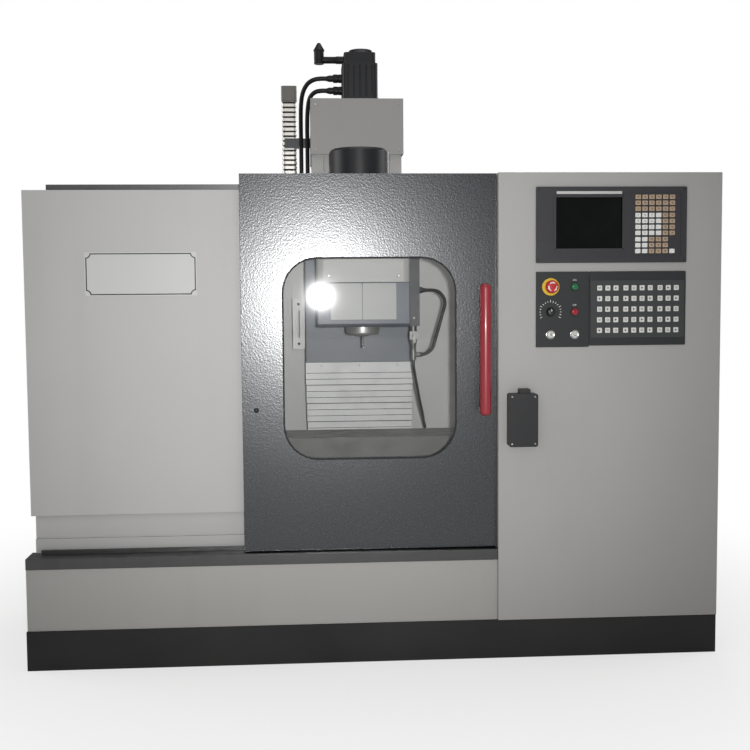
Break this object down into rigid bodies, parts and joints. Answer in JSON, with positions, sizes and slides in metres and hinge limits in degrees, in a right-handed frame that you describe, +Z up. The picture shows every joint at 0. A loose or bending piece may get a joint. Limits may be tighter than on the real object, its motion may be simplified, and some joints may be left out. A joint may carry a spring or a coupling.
{
  "type": "cnc milling machine",
  "caption": "Enclosed vertical milling machine with a sliding windowed door, numerical control panel, cross-sliding table, column head and telescopic way cover.",
  "frame": {"origin": "on the floor under the middle of the machine's outline", "axes": "+X to the operator's right, +Y to the back, +Z up; the door and the panel face -Y"},
  "size_m": [2.29, 1.5004, 2.224],
  "materials": {
    "enclosure_grey": "light grey powder coat, fine texture",
    "base_grey": "grey powder coat",
    "plinth_black": "black paint",
    "door_slate": "dark slate hammered paint",
    "stainless": "brushed stainless sheet",
    "inner_white": "pale grey paint",
    "bed_iron": "painted casting",
    "column_grey": "grey painted casting",
    "head_slate": "dark slate painted casting",
    "cap_grey": "grey paint",
    "motor_black": "satin black paint",
    "lead_black": "black cable sheath",
    "hose_black": "black hose",
    "conduit_steel": "ribbed stainless conduit",
    "bracket_dark": "dark paint",
    "cover_steel": "brushed steel slats",
    "rail_alu": "plain aluminium",
    "cabinet_grey": "grey powder coat",
    "unit_grey": "dark grey moulding",
    "screen_black": "dark screen",
    "key_mixed": "tan and white keys",
    "plate_dark": "dark printed plate",
    "key_pale": "pale keys",
    "collar_yellow": "yellow",
    "stop_red": "red",
    "knob_black": "black",
    "lens_green": "green lens",
    "lens_red": "red lens",
    "lens_pale": "pale lens",
    "box_black": "black moulding",
    "drive_grey": "grey drive cases",
    "window_clear": "clear pane",
    "handle_red": "red sleeve",
    "post_chrome": "polished posts",
    "nylon": "natural nylon",
    "table_iron": "ground iron",
    "saddle_iron": "painted casting",
    "screw_steel": "ground steel",
    "belt_grey": "light grey painted housing",
    "nose_steel": "ground steel",
    "valve_zinc": "plated steel"
  },
  "bodies": {
    "frame": {"bed_casting": "bed_iron", "plinth": "plinth_black", "chip_pan": "base_grey", "door_sill": "stainless", "left_front_panel": "enclosure_grey", "side_walls": "enclosure_grey", "rear_splash_walls": "inner_white", "door_top_rail": "stainless", "column": "column_grey", "column_cap": "cap_grey", "z_servo_motor": "motor_black", "z_motor_leads": "lead_black", "cable_conduit": "conduit_steel", "conduit_bracket": "bracket_dark", "z_cover_bottom": "cover_steel", "trip_rail": "rail_alu", "control_cabinet": "cabinet_grey", "nc_unit": "unit_grey", "nc_screen": "screen_black", "nc_keys": "key_mixed", "operator_plates": "plate_dark", "operator_keys": "key_pale", "estop_collar": "collar_yellow", "switch_box": "box_black", "rear_cabinet": "cabinet_grey", "drive_rack": "drive_grey", "supply_hose": "hose_black"},
    "door": {"door_panel": "door_slate", "window_pane": "window_clear", "door_handle": "handle_red", "handle_posts": "post_chrome", "door_runners": "nylon"},
    "cross_slide": {"saddle": "saddle_iron", "y_way_cover": "stainless"},
    "work_table": {"table": "table_iron", "x_end_brackets": "saddle_iron", "x_servo_motor": "motor_black"},
    "x_screw": {"x_ball_screw": "screw_steel"},
    "head": {"headstock": "head_slate", "belt_housing": "belt_grey", "spindle_motor": "motor_black", "spindle_nose": "nose_steel", "coolant_duct": "bracket_dark", "coolant_valve": "valve_zinc", "coolant_hose": "hose_black", "z_cover_top": "cover_steel"},
    "spindle": {"spindle_shaft": "screw_steel", "end_mill": "screw_steel"},
    "slat_1": {"z_cover_slat_1": "cover_steel"},
    "slat_2": {"z_cover_slat_2": "cover_steel"},
    "slat_3": {"z_cover_slat_3": "cover_steel"},
    "slat_4": {"z_cover_slat_4": "cover_steel"},
    "estop": {"estop_button": "stop_red"},
    "override": {"override_knob": "knob_black"},
    "start": {"start_button": "lens_green"},
    "stop": {"stop_button": "lens_red"},
    "hold": {"hold_button": "lens_pale"},
    "cycle": {"cycle_button": "lens_pale"},
    "rear_door": {"rear_cabinet_door": "cabinet_grey"},
    "rear_lock": {"rear_door_lock": "knob_black"}
  },
  "joints": [
    {"name": "door_slide", "type": "slide", "parent": "frame", "child": "door", "axis": [-1, 0, 0], "range_m": [0, 0.65]},
    {"name": "y_slide", "type": "slide", "parent": "frame", "child": "cross_slide", "axis": [0, 1, 0], "range_m": [-0.125, 0.125]},
    {"name": "x_slide", "type": "slide", "parent": "cross_slide", "child": "work_table", "axis": [1, 0, 0], "range_m": [-0.25, 0.25]},
    {"name": "x_screw_turn", "type": "hinge", "parent": "work_table", "child": "x_screw", "pos_m": [-0.018, -0.21975, 0.599], "axis": [1, 0, 0], "continuous": true},
    {"name": "z_slide", "type": "slide", "parent": "frame", "child": "head", "axis": [0, 0, 1], "range_m": [-0.26, 0], "deforming": ["supply_hose"]},
    {"name": "spindle_spin", "type": "hinge", "parent": "head", "child": "spindle", "pos_m": [-0.018, -0.21975, 1.101], "axis": [0, 0, 1], "continuous": true},
    {"name": "slat_1_slide", "type": "slide", "parent": "frame", "child": "slat_1", "axis": [0, 0, 1], "range_m": [-0.208, 0]},
    {"name": "slat_2_slide", "type": "slide", "parent": "frame", "child": "slat_2", "axis": [0, 0, 1], "range_m": [-0.156, 0]},
    {"name": "slat_3_slide", "type": "slide", "parent": "frame", "child": "slat_3", "axis": [0, 0, 1], "range_m": [-0.104, 0]},
    {"name": "slat_4_slide", "type": "slide", "parent": "frame", "child": "slat_4", "axis": [0, 0, 1], "range_m": [-0.052, 0]},
    {"name": "estop_press", "type": "slide", "parent": "frame", "child": "estop", "axis": [0, 1, 0], "range_m": [0, 0.006]},
    {"name": "override_turn", "type": "hinge", "parent": "frame", "child": "override", "pos_m": [0.5735, -0.70375, 1.1545], "axis": [0, 1, 0], "range_deg": [-135, 135]},
    {"name": "start_press", "type": "slide", "parent": "frame", "child": "start", "axis": [0, 1, 0], "range_m": [0, 0.004], "stiffness_N_per_m": 600},
    {"name": "stop_press", "type": "slide", "parent": "frame", "child": "stop", "axis": [0, 1, 0], "range_m": [0, 0.004], "stiffness_N_per_m": 600},
    {"name": "hold_press", "type": "slide", "parent": "frame", "child": "hold", "axis": [0, 1, 0], "range_m": [0, 0.004], "stiffness_N_per_m": 600},
    {"name": "cycle_press", "type": "slide", "parent": "frame", "child": "cycle", "axis": [0, 1, 0], "range_m": [0, 0.004], "stiffness_N_per_m": 600},
    {"name": "rear_door_swing", "type": "hinge", "parent": "frame", "child": "rear_door", "pos_m": [0.319, 0.72225, 0.975], "axis": [0, 0, -1], "range_deg": [0, 110]},
    {"name": "rear_lock_turn", "type": "hinge", "parent": "rear_door", "child": "rear_lock", "pos_m": [-0.288, 0.75025, 0.975], "axis": [0, 1, 0], "range_deg": [0, 90]}
  ],
  "couplings": [
    {"joint": "slat_1_slide", "follows": "z_slide", "ratio": 0.8},
    {"joint": "slat_2_slide", "follows": "z_slide", "ratio": 0.6},
    {"joint": "slat_3_slide", "follows": "z_slide", "ratio": 0.4},
    {"joint": "slat_4_slide", "follows": "z_slide", "ratio": 0.2},
    {"joint": "x_screw_turn", "follows": "x_slide", "rad_per_m": 628.32}
  ]
}
